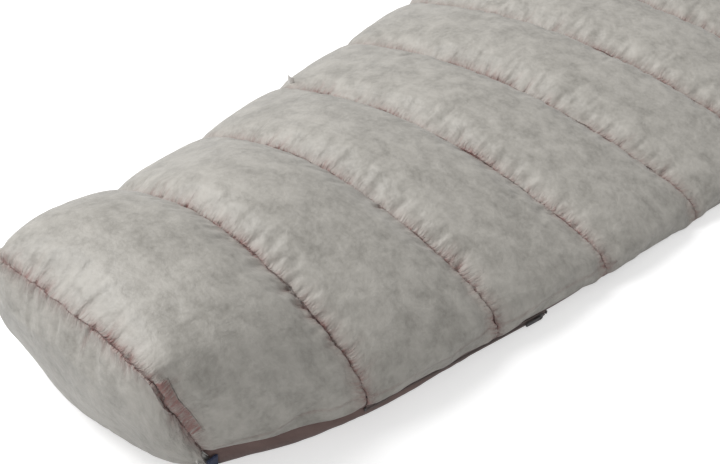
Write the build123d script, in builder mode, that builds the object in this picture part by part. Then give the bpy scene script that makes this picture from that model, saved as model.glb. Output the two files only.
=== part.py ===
"""Camp quilt lying on the ground: eleven puffed cross chambers over a closed foot pocket and a back
that is open from the knees up. +X is the zipped side, +Y the head end, +Z up; millimetres."""

import os
from collections import namedtuple
from math import exp, sqrt

from build123d import *

os.makedirs("parts", exist_ok=True)

# ---------------------------------------------------------------- driving dimensions
# Lengths run from the foot seam (0) towards the head.
CHAMBERS = 11
TOE_CHAMBER = 182
PITCH = 175
LENGTH = TOE_CHAMBER + (CHAMBERS - 1) * PITCH
FOLD_SEAM = 7  # the head part turns back at this seam
POCKET_SEAM = 3  # the floor of the foot pocket ends at this seam

TOE_HALF_WIDTH = 145
SHIN_HALF_WIDTH = 214
WIDENING = 39.6 / PITCH  # first and second order growth of the half width past the toe chamber
WIDENING_FADE = 2.73 / PITCH**2
TORSO_HEIGHT = 66
TOE_RISE = 78  # extra height over the feet, fading out past TOE_REACH
TOE_REACH = 414
TOE_FADE = 2.4
ROUND = 0.55  # curve handle that makes a plain elliptical arch
BOXY = 0.85  # the arch over the toes is nearly square
FLOOR_HEIGHT = 28  # the hem stands this high at the foot seam and meets the ground at seam 4

SEAM_THICKNESS = 20  # outer fabric to lining on a seam
CREST_RISE = 30  # outer fabric above the seams, in the middle of a chamber
LINING_SAG = 6
SIDE_THICKNESS = 24
SIDE_BULGE = 9
EDGE_RADIUS = 11  # turn of the side edge
TUCK_THICKNESS = 22  # the side edges are folded under; this is how thick they lie
TUCK_FOOT = 60
TUCK_BODY = 200

FABRIC = 1.0
SLIT = 0.5  # gap between two fabrics sewn to each other
DOWN_GAP = 7  # filling to the outer fabric
LINING_GAP = 4  # filling to the lining
WALL_GAP = 4  # filling to a seam
WALL_INSET = 1.6  # mesh wall to the fabrics, and the filling to the fabric under it
STEEP_SHARE = 0.15  # share of a chamber's length over which it rises steeply from a seam
FOLD_GAP = 1
FOLD_SWELL = 0.12  # how far the chamber past the fold has already swelled at its mesh wall

END_BULGE = 24  # the puffed end panel beyond the foot seam
END_TAPER = 0.28  # how much smaller its outermost face is than the foot seam
END_STATIONS = (0, 0.5, 0.8, 1)  # shares of its depth at which the end panel is drawn
END_FILL_DEPTH = 19
FLOOR_INSET = 12  # pocket floor inside the hem's outer edge
FLOOR_PLAY = 1.5
FLOOR_TRIM = 0.5  # cut off the floor's underside to leave one flat face

ZIP_START = TOE_CHAMBER + 8
ZIP_END = ZIP_START + 250
ZIP_DROP = 5.5  # zip centre line below the hem
ZIP_INSET = 6  # zip plane inside the hem's outer edge
TAPE_HALF = 4
TAPE_THICKNESS = 0.5
COIL_WIDTH = 3.2
COIL_THICKNESS = 1.8
STOP_LENGTH = 2
STOP_PROUD = 0.5  # end stop wider than the coil, on each side
STOP_ROUND = 0.5
SLIDER_LENGTH = 10
SLIDER_PLAY = 0.15
SLIDER_WALL = 1.1
PULL_LENGTH = 24
PULL_WIDTH = 4.6
PULL_THICKNESS = 1.6
LUG_HALF = 0.8
LUG_REACH = 2.6  # slider's outer face to the far side of the lug
PIN_RADIUS = 0.8
PIN_PLAY = 0.05

HEM_DEPTH = 9
HEM_WALL = 1
HEM_DEEP = 10  # drawcord below the hem's outer surface
CORD_RADIUS = 1.5
CORD_BEND = 7
CORD_TAIL = 110
CORD_SWEEP = 175  # degrees of the arch that the cord covers
TUNNEL_SWEEP = 178
CORD_HEIGHT = 11
TUNNEL_PLAY = 0.6
LOCK_RADIUS = 7
LOCK_HEIGHT = 20
LOCK_FLOOR = 2
LOCK_REST = 30  # cord lock's distance from the hem
BORE_RADIUS = 5
BUTTON_STROKE = 3
BUTTON_PROUD = 4.5
LOCK_PLAY = 0.1  # cord in the lock's hole
BUTTON_PLAY = 0.1
BUTTON_FOOT = 7  # height of the button's lower end
SPRING_WIRE = 0.35
SPRING_RADIUS = 3.6
SPRING_TURNS = 4
BEAD_RADIUS = 4.5
BEAD_LENGTH = 12
CORD_IN_BEAD = 9

LOOP_WIDTH = 12
LOOP_HEIGHT = 21
LOOP_WEB = 1.2
LOOP_PLIES = 3  # two plies of webbing and the slot between them
LOOP_AT = 41  # from the foot seam
LOOP_STANDOFF = 1.5
LABEL_OUT = 15
LABEL_HEIGHT = 18
LABEL_THICKNESS = 0.8
LABEL_BASE = 44
LABEL_PAST = 12  # past seam 3
LABEL_INSET = 18  # its sewn edge, inside the quilt's widest point

REACH = LENGTH + HEM_DEPTH + CORD_TAIL
MIDDLE = (REACH - END_BULGE) / 2  # puts the origin under the middle of the whole thing


# ---------------------------------------------------------------- shape of the quilt
def seam(number):
    """Distance of a cross seam from the foot seam, which is number 0."""
    return 0 if number == 0 else TOE_CHAMBER + (number - 1) * PITCH


def half_width(u):
    if u < TOE_CHAMBER:
        return TOE_HALF_WIDTH + (SHIN_HALF_WIDTH - TOE_HALF_WIDTH) * u / TOE_CHAMBER
    past = u - TOE_CHAMBER
    return SHIN_HALF_WIDTH + WIDENING * past - WIDENING_FADE * past**2


def top_height(u):
    return TORSO_HEIGHT + TOE_RISE * exp(-((max(u, 0) / TOE_REACH) ** TOE_FADE))


def hem_height(u):
    return FLOOR_HEIGHT * max(0, 1 - u / seam(POCKET_SEAM + 1))


def tuck_width(u):
    """How far the side edge is folded under: little over the pocket's floor, more further up."""
    start, end = seam(POCKET_SEAM), seam(POCKET_SEAM + 1)
    share = min(max((u - start) / (end - start), 0), 1)
    return TUCK_FOOT + (TUCK_BODY - TUCK_FOOT) * share


def fullness(u):
    """Curve handle of the arch: boxy at the foot seam, elliptical from seam 1 on."""
    return ROUND + (BOXY - ROUND) * max(0, 1 - u / TOE_CHAMBER)


Section = namedtuple("Section", "y half top under base tuck full")


def section(u, puff):
    """Sizes of the cross-section at u. puff is 0 on a seam and 1 in the middle of a chamber."""
    half = half_width(u) + SIDE_BULGE * puff
    return Section(
        y=u - MIDDLE,
        half=half,
        top=top_height(u) + CREST_RISE * puff,
        under=top_height(u) - SEAM_THICKNESS - LINING_SAG * puff,
        base=hem_height(u),
        tuck=half - tuck_width(u),
        full=fullness(u),
    )


def chamber_sections(first, last, gap=0, ends=0):
    """Sections through the chambers from seam first to seam last; gap keeps clear of each seam."""
    found = []
    for number in range(first, last):
        start, end = seam(number) + gap, seam(number + 1) - gap
        low = start + (ends if number == first else 0)
        high = end - (ends if number == last - 1 else 0)
        steep = STEEP_SHARE * (end - start)
        stations = [low, start + steep, (start + end) / 2, end - steep]
        if number == last - 1 or gap:
            stations.append(high)
        for u in stations:
            across = 2 * (u - seam(number)) / (seam(number + 1) - seam(number)) - 1
            found.append(section(u, sqrt(max(0, 1 - across**2))))
    return found


# ---------------------------------------------------------------- outlines of one section
def crown(half, low, high, full):
    """Right half of an arch from (half, low) up to the centre line at high."""
    Bezier((half, low), (half, low + full * (high - low)), (full * half, high), (0, high))


def outer_edge(s, gap):
    """Right half of the outer surface, set in by gap: crown and turned side edge."""
    height = s.base + EDGE_RADIUS
    crown(s.half - gap, height, s.top - gap, s.full)
    CenterArc((s.half - EDGE_RADIUS, height), EDGE_RADIUS - gap, -90, 90)


def inner_edge(s, gap):
    """Right half of the lining surface, set back into the filling by gap. Returns its lower end."""
    shelf = s.base + TUCK_THICKNESS
    half = s.half - SIDE_THICKNESS + gap
    crown(half, shelf, s.under + gap, s.full)
    if gap:
        Line((half, shelf), (half, shelf - gap))
    return half, shelf - gap


def shell_outline(s):
    """Outer fabric, with a lip that closes the end of the tucked edge."""
    lip = s.base + TUCK_THICKNESS - FABRIC - SLIT
    turn = s.half - EDGE_RADIUS
    outer_edge(s, 0)
    outer_edge(s, FABRIC)
    Polyline(
        (turn, s.base),
        (s.tuck, s.base),
        (s.tuck, lip),
        (s.tuck + FABRIC, lip),
        (s.tuck + FABRIC, s.base + FABRIC),
        (turn, s.base + FABRIC),
    )
    mirror(about=Plane.YZ)


def lining_outline(s):
    near = inner_edge(s, 0)
    far = inner_edge(s, FABRIC)
    Polyline(near, (s.tuck, near[1]), (s.tuck, far[1]), far)
    mirror(about=Plane.YZ)


def filling_outline(s, outer_gap, inner_gap):
    """Everything between the two fabrics, set in from both."""
    outer_edge(s, outer_gap)
    end = inner_edge(s, inner_gap)
    turn, floor = s.half - EDGE_RADIUS, s.base + outer_gap
    if outer_gap > WALL_INSET:
        # a soft filling settles almost down to the fabric it lies on
        Line((turn, floor), (turn, s.base + WALL_INSET))
        floor = s.base + WALL_INSET
    Polyline((turn, floor), (s.tuck + inner_gap, floor), (s.tuck + inner_gap, end[1]), end)
    mirror(about=Plane.YZ)


def down_outline(s):
    filling_outline(s, DOWN_GAP, LINING_GAP)


def wall_outline(s):
    filling_outline(s, WALL_INSET, WALL_INSET)


def faces(sections, outline):
    """The outline's filled faces, one at each section, ready to loft."""
    drawn = []
    for s in sections:
        with BuildSketch(Plane.XZ.offset(-s.y)) as face:
            with BuildLine():
                outline(s)
            make_face()
        drawn.append(face.sketch)
    return drawn


def save(part, name):
    part.label = name
    export_step(part, f"parts/{name}.step")


# ---------------------------------------------------------------- quilted top
halves = {"foot": (0, FOLD_SEAM), "head": (FOLD_SEAM, CHAMBERS)}
for half, (first, last) in halves.items():
    through = chamber_sections(first, last, ends=FOLD_GAP / 2)
    with BuildPart() as shell:
        loft(faces(through, shell_outline), ruled=True, clean=False)
    save(shell.part, f"shell_{half}_half")
    with BuildPart() as lining:
        loft(faces(through, lining_outline), ruled=True, clean=False)
    save(lining.part, f"lining_{half}_half")

for number in range(CHAMBERS):
    with BuildPart() as down:
        loft(faces(chamber_sections(number, number + 1, WALL_GAP), down_outline), ruled=True, clean=False)
    save(down.part, f"down_chamber_{number + 1:02d}")

for number in range(1, CHAMBERS):
    # the wall on the fold seam belongs to the head half, so it stands just past the fold
    at_fold = number == FOLD_SEAM
    where = section(seam(number) + 2 * FOLD_GAP * at_fold, FOLD_SWELL * at_fold)
    with BuildPart() as wall:
        extrude(faces([where], wall_outline)[0], amount=FABRIC, dir=(0, 1, 0))
    save(wall.part, f"baffle_wall_{number:02d}")


# ---------------------------------------------------------------- foot end panel
def end_outline(s):
    """A closed arch standing on the ground."""
    height = s.base + EDGE_RADIUS
    crown(s.half, height, s.top, s.full)
    CenterArc((s.half - EDGE_RADIUS, height), EDGE_RADIUS, -90, 90)
    Line((s.half - EDGE_RADIUS, s.base), (0, s.base))
    mirror(about=Plane.YZ)


def end_sections(start, depth, gap):
    """The pillow of the end panel, from start to depth beyond the foot seam, set in by gap."""
    found = []
    for share in END_STATIONS:
        out = start + share * (depth - start)
        scale = 1 - END_TAPER * (1 - sqrt(1 - (out / depth) ** 2))
        middle = top_height(0) / 2
        found.append(
            Section(
                y=-out - MIDDLE,
                half=TOE_HALF_WIDTH * scale - gap,
                top=middle * (1 + scale) - gap,
                under=0,
                base=middle * (1 - scale) + gap,
                tuck=0,
                full=BOXY,
            )
        )
    return found


with BuildPart() as end_shell:
    loft(faces(end_sections(FOLD_GAP, END_BULGE, 0), end_outline), ruled=True, clean=False)
    loft(
        faces(end_sections(0, END_BULGE - FABRIC, FABRIC), end_outline),
        ruled=True,
        clean=False,
        mode=Mode.SUBTRACT,
    )
save(end_shell.part, "foot_end_shell")

with BuildPart() as end_lining:
    rim = end_sections(2 * FABRIC, END_BULGE, 4 * FABRIC)[0]
    extrude(faces([rim], end_outline)[0], amount=FABRIC, dir=(0, -1, 0))
save(end_lining.part, "foot_end_lining")

with BuildPart() as end_down:
    loft(faces(end_sections(5 * FABRIC, END_FILL_DEPTH, DOWN_GAP), end_outline), ruled=True, clean=False)
save(end_down.part, "foot_end_down")


# ---------------------------------------------------------------- floor of the foot pocket
def floor_edge(s):
    return s.half - FLOOR_INSET, s.base - FLOOR_PLAY


def floor_shell_outline(s):
    edge, top = floor_edge(s)
    lip = top - FABRIC - SLIT
    inner = edge - FABRIC
    Polyline((0, -FLOOR_TRIM), (edge, -FLOOR_TRIM), (edge, lip), (inner, lip), (inner, FABRIC), (0, FABRIC))
    mirror(about=Plane.YZ)


def floor_lining_outline(s):
    edge, top = floor_edge(s)
    Polyline((0, top), (edge, top), (edge, top - FABRIC), (0, top - FABRIC))
    mirror(about=Plane.YZ)


def floor_down_outline(s):
    edge, top = floor_edge(s)
    side = edge - WALL_GAP
    low, high = FABRIC + SLIT, top - FABRIC - SLIT
    Polyline((0, low), (side, low), (side, high), (0, high))
    mirror(about=Plane.YZ)


floor_sections = [section(u, 0) for u in (FOLD_GAP / 2, seam(1), seam(2), seam(3))]
with BuildPart() as floor_shell:
    loft(faces(floor_sections, floor_shell_outline), ruled=True, clean=False)
    split(bisect_by=Plane.XY)
save(floor_shell.part, "floor_shell")

with BuildPart() as floor_lining:
    loft(faces(floor_sections, floor_lining_outline), ruled=True, clean=False)
save(floor_lining.part, "floor_lining")

for number in range(POCKET_SEAM):
    ends = [section(seam(number) + WALL_GAP, 0), section(seam(number + 1) - WALL_GAP, 0)]
    with BuildPart() as floor_down:
        loft(faces(ends, floor_down_outline), ruled=True, clean=False)
    save(floor_down.part, f"floor_down_{number + 1:02d}")

binding_edge, binding_top = floor_edge(section(seam(POCKET_SEAM), 0))
with BuildPart() as floor_binding:
    with Locations((0, seam(POCKET_SEAM) + FABRIC - MIDDLE, binding_top / 2)):
        Box(2 * binding_edge, FABRIC, binding_top)
save(floor_binding.part, "floor_binding")


# ---------------------------------------------------------------- zip under the +X hem
def zip_point(u):
    return Vector(half_width(u) - ZIP_INSET, u - MIDDLE, hem_height(u) - ZIP_DROP)


zip_run = zip_point(ZIP_END) - zip_point(ZIP_START)
zip_length = zip_run.length
along = zip_run.normalized()
outward = along.cross(Vector(0, 0, 1)).normalized()
# zip frame: x along the zip towards the head, y up across it, z out of the quilt's side
zip_plane = Plane(origin=zip_point(ZIP_START), x_dir=along, z_dir=outward)
slider_at = zip_length - SLIDER_LENGTH
coil_edge = COIL_WIDTH / 2
tape_width = TAPE_HALF - coil_edge - PIN_PLAY


def zip_strip(side, low, high, thickness):
    """A straight strip the length of the zip; side is +1 above its centre line and -1 below."""
    with BuildPart() as strip:
        with BuildSketch(zip_plane.offset(-thickness / 2)):
            with Locations((zip_length / 2, side * (low + high) / 2)):
                Rectangle(zip_length, high - low)
        extrude(amount=thickness)
    return strip.part


for side, name in ((1, "upper"), (-1, "lower")):
    save(zip_strip(side, coil_edge + PIN_PLAY, TAPE_HALF, TAPE_THICKNESS), f"zip_tape_{name}")
    save(zip_strip(side, PIN_PLAY, coil_edge, COIL_THICKNESS), f"zip_coil_{name}")

stop_out = STOP_LENGTH / 2 + SLIT
for name, place in (("foot", -stop_out), ("head", zip_length + stop_out)):
    with BuildPart() as stop:
        with BuildSketch(zip_plane.offset(-COIL_THICKNESS / 2)):
            with Locations((place, 0)):
                Rectangle(STOP_LENGTH, COIL_WIDTH + 2 * STOP_PROUD)
        extrude(amount=COIL_THICKNESS)
        fillet(stop.edges().filter_by(Axis((0, 0, 0), outward)), STOP_ROUND)
    save(stop.part, f"zip_stop_{name}")

plate_low = COIL_THICKNESS / 2 + SLIDER_PLAY
plate_high = plate_low + SLIDER_WALL
flange_low = TAPE_THICKNESS / 2 + SLIDER_PLAY
slider_half = coil_edge + SLIDER_PLAY + SLIDER_WALL
pin_out = plate_high + LUG_REACH / 2
with BuildPart() as slider:
    with BuildSketch(zip_plane.offset(flange_low)):
        with Locations((slider_at, 0)):
            RectangleRounded(SLIDER_LENGTH, 2 * slider_half, SLIDER_WALL)
            Rectangle(SLIDER_LENGTH, COIL_WIDTH + 2 * SLIDER_PLAY, mode=Mode.SUBTRACT)
    extrude(amount=plate_high - flange_low)
    with BuildSketch(zip_plane.offset(plate_low)):
        with Locations((slider_at, 0)):
            RectangleRounded(SLIDER_LENGTH, 2 * slider_half, SLIDER_WALL)
    extrude(amount=SLIDER_WALL)
    with BuildSketch(zip_plane.offset(plate_high)):
        with Locations((slider_at, 0)):
            Rectangle(LUG_REACH, 2 * LUG_HALF)
    extrude(amount=LUG_REACH)
    pin_plane = Plane(
        origin=zip_plane.from_local_coords((slider_at, -LUG_HALF, pin_out)),
        x_dir=along,
        z_dir=zip_plane.y_dir,
    )
    with BuildSketch(pin_plane):
        Circle(PIN_RADIUS + PIN_PLAY)
    extrude(amount=2 * LUG_HALF, mode=Mode.SUBTRACT)
save(slider.part, "zip_slider")

prong = (PULL_WIDTH / 2) - LUG_HALF - LOCK_PLAY
with BuildPart() as pull:
    with BuildSketch(zip_plane.offset(pin_out - PULL_THICKNESS / 2)):
        with Locations((slider_at - PULL_LENGTH / 2 + PULL_THICKNESS / 2, 0)):
            RectangleRounded(PULL_LENGTH, PULL_WIDTH, PULL_THICKNESS / 2)
        with Locations((slider_at, 0)):
            Rectangle(2 * LUG_REACH, PULL_WIDTH - 2 * prong, mode=Mode.SUBTRACT)
    extrude(amount=PULL_THICKNESS)
    with BuildSketch(pin_plane.offset(-PULL_WIDTH / 2 + LUG_HALF + prong / 2)):
        Circle(PIN_RADIUS)
    extrude(amount=PULL_WIDTH - prong)
save(pull.part, "zip_pull")

# ---------------------------------------------------------------- loop and blank label
loop_section = section(LOOP_AT, 0)
loop_thickness = LOOP_PLIES * LOOP_WEB
with BuildPart() as loop:
    with BuildSketch(Plane.XZ.offset(-(loop_section.y + LOOP_WIDTH / 2))):
        loop_x = loop_section.half - FLOOR_INSET + loop_thickness + LOOP_STANDOFF
        with Locations((loop_x, LOOP_HEIGHT / 2 + FABRIC)):
            SlotOverall(LOOP_HEIGHT, loop_thickness, rotation=90)
            SlotOverall(LOOP_HEIGHT - 2 * LOOP_WEB, LOOP_WEB, rotation=90, mode=Mode.SUBTRACT)
    extrude(amount=LOOP_WIDTH)
save(loop.part, "hang_loop")

label_section = section(seam(POCKET_SEAM) + LABEL_PAST, 0.5)
with BuildPart() as label:
    with Locations(
        (
            -label_section.half + LABEL_INSET - LABEL_OUT / 2,
            label_section.y,
            LABEL_BASE + LABEL_HEIGHT / 2,
        )
    ):
        Box(LABEL_OUT, LABEL_THICKNESS, LABEL_HEIGHT)
save(label.part, "blank_label")

# ---------------------------------------------------------------- head hem, drawcord and cord lock
hem_section = section(LENGTH, 0)
hem_y = LENGTH + HEM_DEPTH / 2 - MIDDLE
cord_half = hem_section.half - HEM_DEEP
cord_low = CORD_HEIGHT + CORD_BEND
cord_rise = hem_section.top - HEM_DEEP - cord_low


def cord_path(sweep_angle):
    """From the free end to the hem, round a small bend and over the arch."""
    tail_start = Vector(cord_half, hem_y + CORD_BEND, CORD_HEIGHT)
    tail_end = Vector(cord_half, REACH - MIDDLE - BEAD_LENGTH + CORD_IN_BEAD, CORD_HEIGHT)
    arch_start = Vector(cord_half, hem_y, cord_low)
    with BuildLine() as path:
        Line(tail_end, tail_start)
        TangentArc(tail_start, arch_start, tangent=(0, -1, 0))
        with BuildLine(Plane.XZ.offset(-hem_y)):
            EllipticalCenterArc((0, cord_low), cord_half, cord_rise, start_angle=0, arc_size=sweep_angle)
    return path


def cord_round(sweep_angle, radius):
    path = cord_path(sweep_angle)
    with BuildPart() as cord:
        with BuildSketch(Plane(path.line @ 0, z_dir=path.line % 0)):
            Circle(radius)
        sweep(path=path.line)
    return cord.part


def hem_outline(s):
    filling_outline(s, 0, 0)


with BuildPart() as hem:
    hem_face = faces([section(LENGTH + FOLD_GAP, 0)], hem_outline)[0]
    extrude(hem_face, amount=HEM_DEPTH - FOLD_GAP, dir=(0, 1, 0))
    add(cord_round(TUNNEL_SWEEP, CORD_RADIUS + TUNNEL_PLAY), mode=Mode.SUBTRACT)
save(hem.part, "head_hem")
save(cord_round(CORD_SWEEP, CORD_RADIUS), "drawcord")

lock_y = LENGTH + HEM_DEPTH + LOCK_REST - MIDDLE
cord_plane = Plane.XZ.offset(-(lock_y + LOCK_RADIUS))
with BuildPart() as barrel:
    with BuildSketch():
        with Locations((cord_half, lock_y)):
            Circle(LOCK_RADIUS)
    extrude(amount=LOCK_HEIGHT)
    fillet(barrel.edges().group_by(Axis.Z)[0], FABRIC)
    with BuildSketch(Plane.XY.offset(LOCK_FLOOR)):
        with Locations((cord_half, lock_y)):
            Circle(BORE_RADIUS)
    extrude(amount=LOCK_HEIGHT, mode=Mode.SUBTRACT)
    with BuildSketch(cord_plane):
        with Locations((cord_half, CORD_HEIGHT)):
            Circle(CORD_RADIUS + LOCK_PLAY)
    extrude(amount=2 * LOCK_RADIUS, mode=Mode.SUBTRACT)
save(barrel.part, "cord_lock_barrel")

button_top = LOCK_HEIGHT + BUTTON_PROUD
slot_width = 2 * (CORD_RADIUS + 2 * LOCK_PLAY)
slot_height = 2 * (CORD_RADIUS + LOCK_PLAY) + BUTTON_STROKE
with BuildPart() as button:
    with BuildSketch(Plane.XY.offset(BUTTON_FOOT)):
        with Locations((cord_half, lock_y)):
            Circle(BORE_RADIUS - BUTTON_PLAY)
    extrude(amount=button_top - BUTTON_FOOT)
    fillet(button.edges().group_by(Axis.Z)[-1], FABRIC)
    with BuildSketch(cord_plane):
        with Locations((cord_half, CORD_HEIGHT + BUTTON_STROKE / 2)):
            SlotOverall(slot_height, slot_width, rotation=90)
    extrude(amount=2 * LOCK_RADIUS, mode=Mode.SUBTRACT)
save(button.part, "cord_lock_button")

spring_low = LOCK_FLOOR + 2 * SPRING_WIRE
spring_rise = BUTTON_FOOT - LOCK_FLOOR - 4 * SPRING_WIRE
with BuildPart() as spring:
    with BuildLine():
        spring_foot = (cord_half, lock_y, spring_low)
        coil = Helix(spring_rise / SPRING_TURNS, spring_rise, SPRING_RADIUS, center=spring_foot)
    with BuildSketch(Plane(coil @ 0, z_dir=coil % 0)):
        Circle(SPRING_WIRE)
    sweep(path=coil)
save(spring.part, "cord_lock_spring")

with BuildPart() as bead:
    with BuildSketch(Plane.XZ.offset(-(REACH - MIDDLE))):
        with Locations((cord_half, CORD_HEIGHT)):
            Circle(BEAD_RADIUS)
            Circle(CORD_RADIUS + LOCK_PLAY, mode=Mode.SUBTRACT)
    extrude(amount=BEAD_LENGTH)
    fillet(bead.edges().filter_by(GeomType.CIRCLE).group_by(SortBy.RADIUS)[-1], 2 * FABRIC)
save(bead.part, "cord_end_bead")
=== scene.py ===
"""Down camp quilt lying flat: gathered outer fabric puffed by a cloth simulation, lining, foot pocket,
side zip, webbing loop and head drawcord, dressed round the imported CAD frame. Metres, +Y to the head."""

import math

import bpy
import numpy as np
from mathutils import Matrix, Vector


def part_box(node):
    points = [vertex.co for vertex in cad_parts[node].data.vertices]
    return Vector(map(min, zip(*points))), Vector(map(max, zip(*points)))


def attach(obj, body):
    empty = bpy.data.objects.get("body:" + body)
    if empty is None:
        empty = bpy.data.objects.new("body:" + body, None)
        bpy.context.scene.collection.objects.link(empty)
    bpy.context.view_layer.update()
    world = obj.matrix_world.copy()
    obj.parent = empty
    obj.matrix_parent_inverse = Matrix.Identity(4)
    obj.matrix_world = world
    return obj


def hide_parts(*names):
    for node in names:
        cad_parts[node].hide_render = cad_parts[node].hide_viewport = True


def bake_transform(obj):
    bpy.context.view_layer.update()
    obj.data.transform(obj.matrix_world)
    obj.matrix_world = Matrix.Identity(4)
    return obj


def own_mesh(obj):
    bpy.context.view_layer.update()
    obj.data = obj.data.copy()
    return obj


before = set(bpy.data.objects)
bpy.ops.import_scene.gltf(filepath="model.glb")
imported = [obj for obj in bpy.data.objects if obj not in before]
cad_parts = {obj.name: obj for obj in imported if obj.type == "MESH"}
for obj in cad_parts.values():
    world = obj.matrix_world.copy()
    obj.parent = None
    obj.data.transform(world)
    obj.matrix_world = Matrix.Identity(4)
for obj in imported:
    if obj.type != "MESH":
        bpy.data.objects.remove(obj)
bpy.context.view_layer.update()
MM = 0.001


# ------ measures taken from the frame
WALL_INSET = 1.6 * MM  # mesh walls stop this far inside the fabric
END_INSET = 4 * MM  # so does the end panel's lining
FLOOR_PLAY = 1.5 * MM  # the pocket's floor lies this far below the hem
POCKET_SEAM = 3
FOLD_SEAM = 7
WALLS = 10
Y, HALF, TOP, BASE = range(4)  # columns of the seam table


def seam_table():
    """y, half width, top and hem height of every cross seam, from the foot seam to the head edge."""
    low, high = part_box("foot_end_lining")
    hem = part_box("floor_lining")[1].z + FLOOR_PLAY
    rows = [(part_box("shell_foot_half")[0].y, high.x + END_INSET, high.z + END_INSET, hem)]
    for number in range(1, WALLS + 1):
        low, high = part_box(f"baffle_wall_{number:02d}")
        rows.append((low.y, high.x + WALL_INSET, high.z + WALL_INSET, low.z - WALL_INSET))
    low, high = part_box("head_hem")
    rows.append((low.y, high.x, high.z, low.z))
    return np.array(rows)


seams = seam_table()
CHAMBERS = len(seams) - 1
CREST = 0.8 * (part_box("shell_head_half")[1].z - seams[FOLD_SEAM, TOP])  # rise of a chamber above its seams

# The dressed quilt's seams are drawn in less than the CAD's over the feet and legs.
LOFT = 14 * MM
LOFT_ENDS = 9  # no more extra loft from this seam on
LOFT_FADE = 3  # seams over which it fades away
HEM_LIFT = 6 * MM  # the pocket's hem is drawn up at the foot corners


def lofted(at):
    """1 over the feet and legs and 0 at the head; at counts seams from the foot."""
    return np.clip((LOFT_ENDS - at) / LOFT_FADE, 0, 1)


seams[:, TOP] += LOFT * lofted(np.arange(CHAMBERS + 1))
seams[0, BASE] += HEM_LIFT
slopes = np.gradient(seams, axis=0)
foot_y = seams[0, Y]

THICKNESS = 20 * MM  # outer fabric to lining on a seam
LINING_SAG = 6 * MM  # and more in the middle of a chamber
SIDE_BULGE = 4 * MM
SIDE_THICKNESS = 24 * MM
EDGE_RADIUS = 11 * MM
TUCK_THICKNESS = 22 * MM
TUCK_FOOT = 60 * MM  # how far the side edges are folded under, over the pocket's floor
TUCK_BODY = 200 * MM  # and further up
ROUND_ARCH = 0.45  # fullness of the arch over the body
BOXY_ARCH = 1.07  # and on the foot seam
GROUND_CLEAR = 0.3 * MM  # cloth on the ground starts this far above it


def between(at, column):
    """Smooth curve through one column of the seam table; at counts seams from the foot."""
    k = np.clip(np.floor(at).astype(int), 0, CHAMBERS - 1)
    t = at - k
    v, slope = seams[:, column], slopes[:, column]
    return (
        v[k] * (1 + 2 * t) * (1 - t) ** 2
        + slope[k] * t * (1 - t) ** 2
        + v[k + 1] * t**2 * (3 - 2 * t)
        + slope[k + 1] * t**2 * (t - 1)
    )


# ------ smooth random fields
NOISE_TABLE = 128


def noise(x, y, seed):
    """Smooth noise between -1 and 1, about one lump per unit of x and y."""
    x, y = np.broadcast_arrays(x, y)
    table = np.random.default_rng(seed).uniform(-1, 1, (NOISE_TABLE, NOISE_TABLE))
    i, j = np.floor(x).astype(int), np.floor(y).astype(int)
    u, v = x - i, y - j
    u, v = u * u * (3 - 2 * u), v * v * (3 - 2 * v)
    i, j, i1, j1 = i % NOISE_TABLE, j % NOISE_TABLE, (i + 1) % NOISE_TABLE, (j + 1) % NOISE_TABLE
    low = table[i, j] * (1 - u) + table[i1, j] * u
    high = table[i, j1] * (1 - u) + table[i1, j1] * u
    return low * (1 - v) + high * v


def pleats(x, y, seed):
    """Rounded folds with sharp valleys, between 0 in the valleys and 1."""
    return np.abs(noise(x, y, seed)) ** 0.6


def bump(distance, width):
    """1 at no distance, falling smoothly to almost 0 over twice the width."""
    return np.exp(-((distance / width) ** 2))


# ------ lines and grids of points
def line_length(line):
    """Distance from the first point of a polyline to each of its points."""
    return np.concatenate([[0], np.cumsum(np.linalg.norm(np.diff(line, axis=0), axis=1))])


def at_distance(line, gone, want):
    """Points of a polyline at the wanted distances along it."""
    return np.stack([np.interp(want, gone, line[:, c]) for c in range(line.shape[1])], axis=-1)


def resampled(line, count):
    """The same polyline with count points at even distances."""
    gone = line_length(line)
    return at_distance(line, gone, np.linspace(0, gone[-1], count))


def along(grid, axis):
    """Distance from the first point along one axis of a grid of points."""
    step = np.linalg.norm(np.diff(grid, axis=axis), axis=2)
    gone = np.cumsum(step, axis=axis)
    start = np.zeros_like(np.take(gone, [0], axis=axis))
    return np.concatenate([start, gone], axis=axis)


def normals(grid):
    """Unit vectors square to the grid; outwards on the outer fabric."""
    n = np.cross(np.gradient(grid, axis=1), np.gradient(grid, axis=0))
    return n / np.maximum(np.linalg.norm(n, axis=2, keepdims=True), 1e-12)


def refine(grid, times):
    """The grid with times as many steps along its first axis, on a smooth curve through its points."""
    slope = np.gradient(grid, axis=0)
    rows = []
    for share in np.arange(times) / times:
        a, b = share * (1 - share) ** 2, share**2 * (share - 1)
        c, d = (1 + 2 * share) * (1 - share) ** 2, share**2 * (3 - 2 * share)
        rows.append(c * grid[:-1] + a * slope[:-1] + d * grid[1:] + b * slope[1:])
    joined = np.stack(rows, axis=1).reshape((-1,) + grid.shape[1:])
    return np.concatenate([joined, grid[-1:]])


def refine_across(grid, times):
    """The same along the second axis."""
    return refine(grid.swapaxes(0, 1), times).swapaxes(0, 1)


def grid_faces(rows, columns, offset=0, ring=False):
    """Four-sided faces of a grid; a ring joins its last column to its first."""
    index = np.arange(rows * columns).reshape(rows, columns) + offset
    if ring:
        index = np.concatenate([index, index[:, :1]], axis=1)
    return np.stack([index[:-1, :-1], index[:-1, 1:], index[1:, 1:], index[1:, :-1]], -1).reshape(-1, 4)


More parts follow.
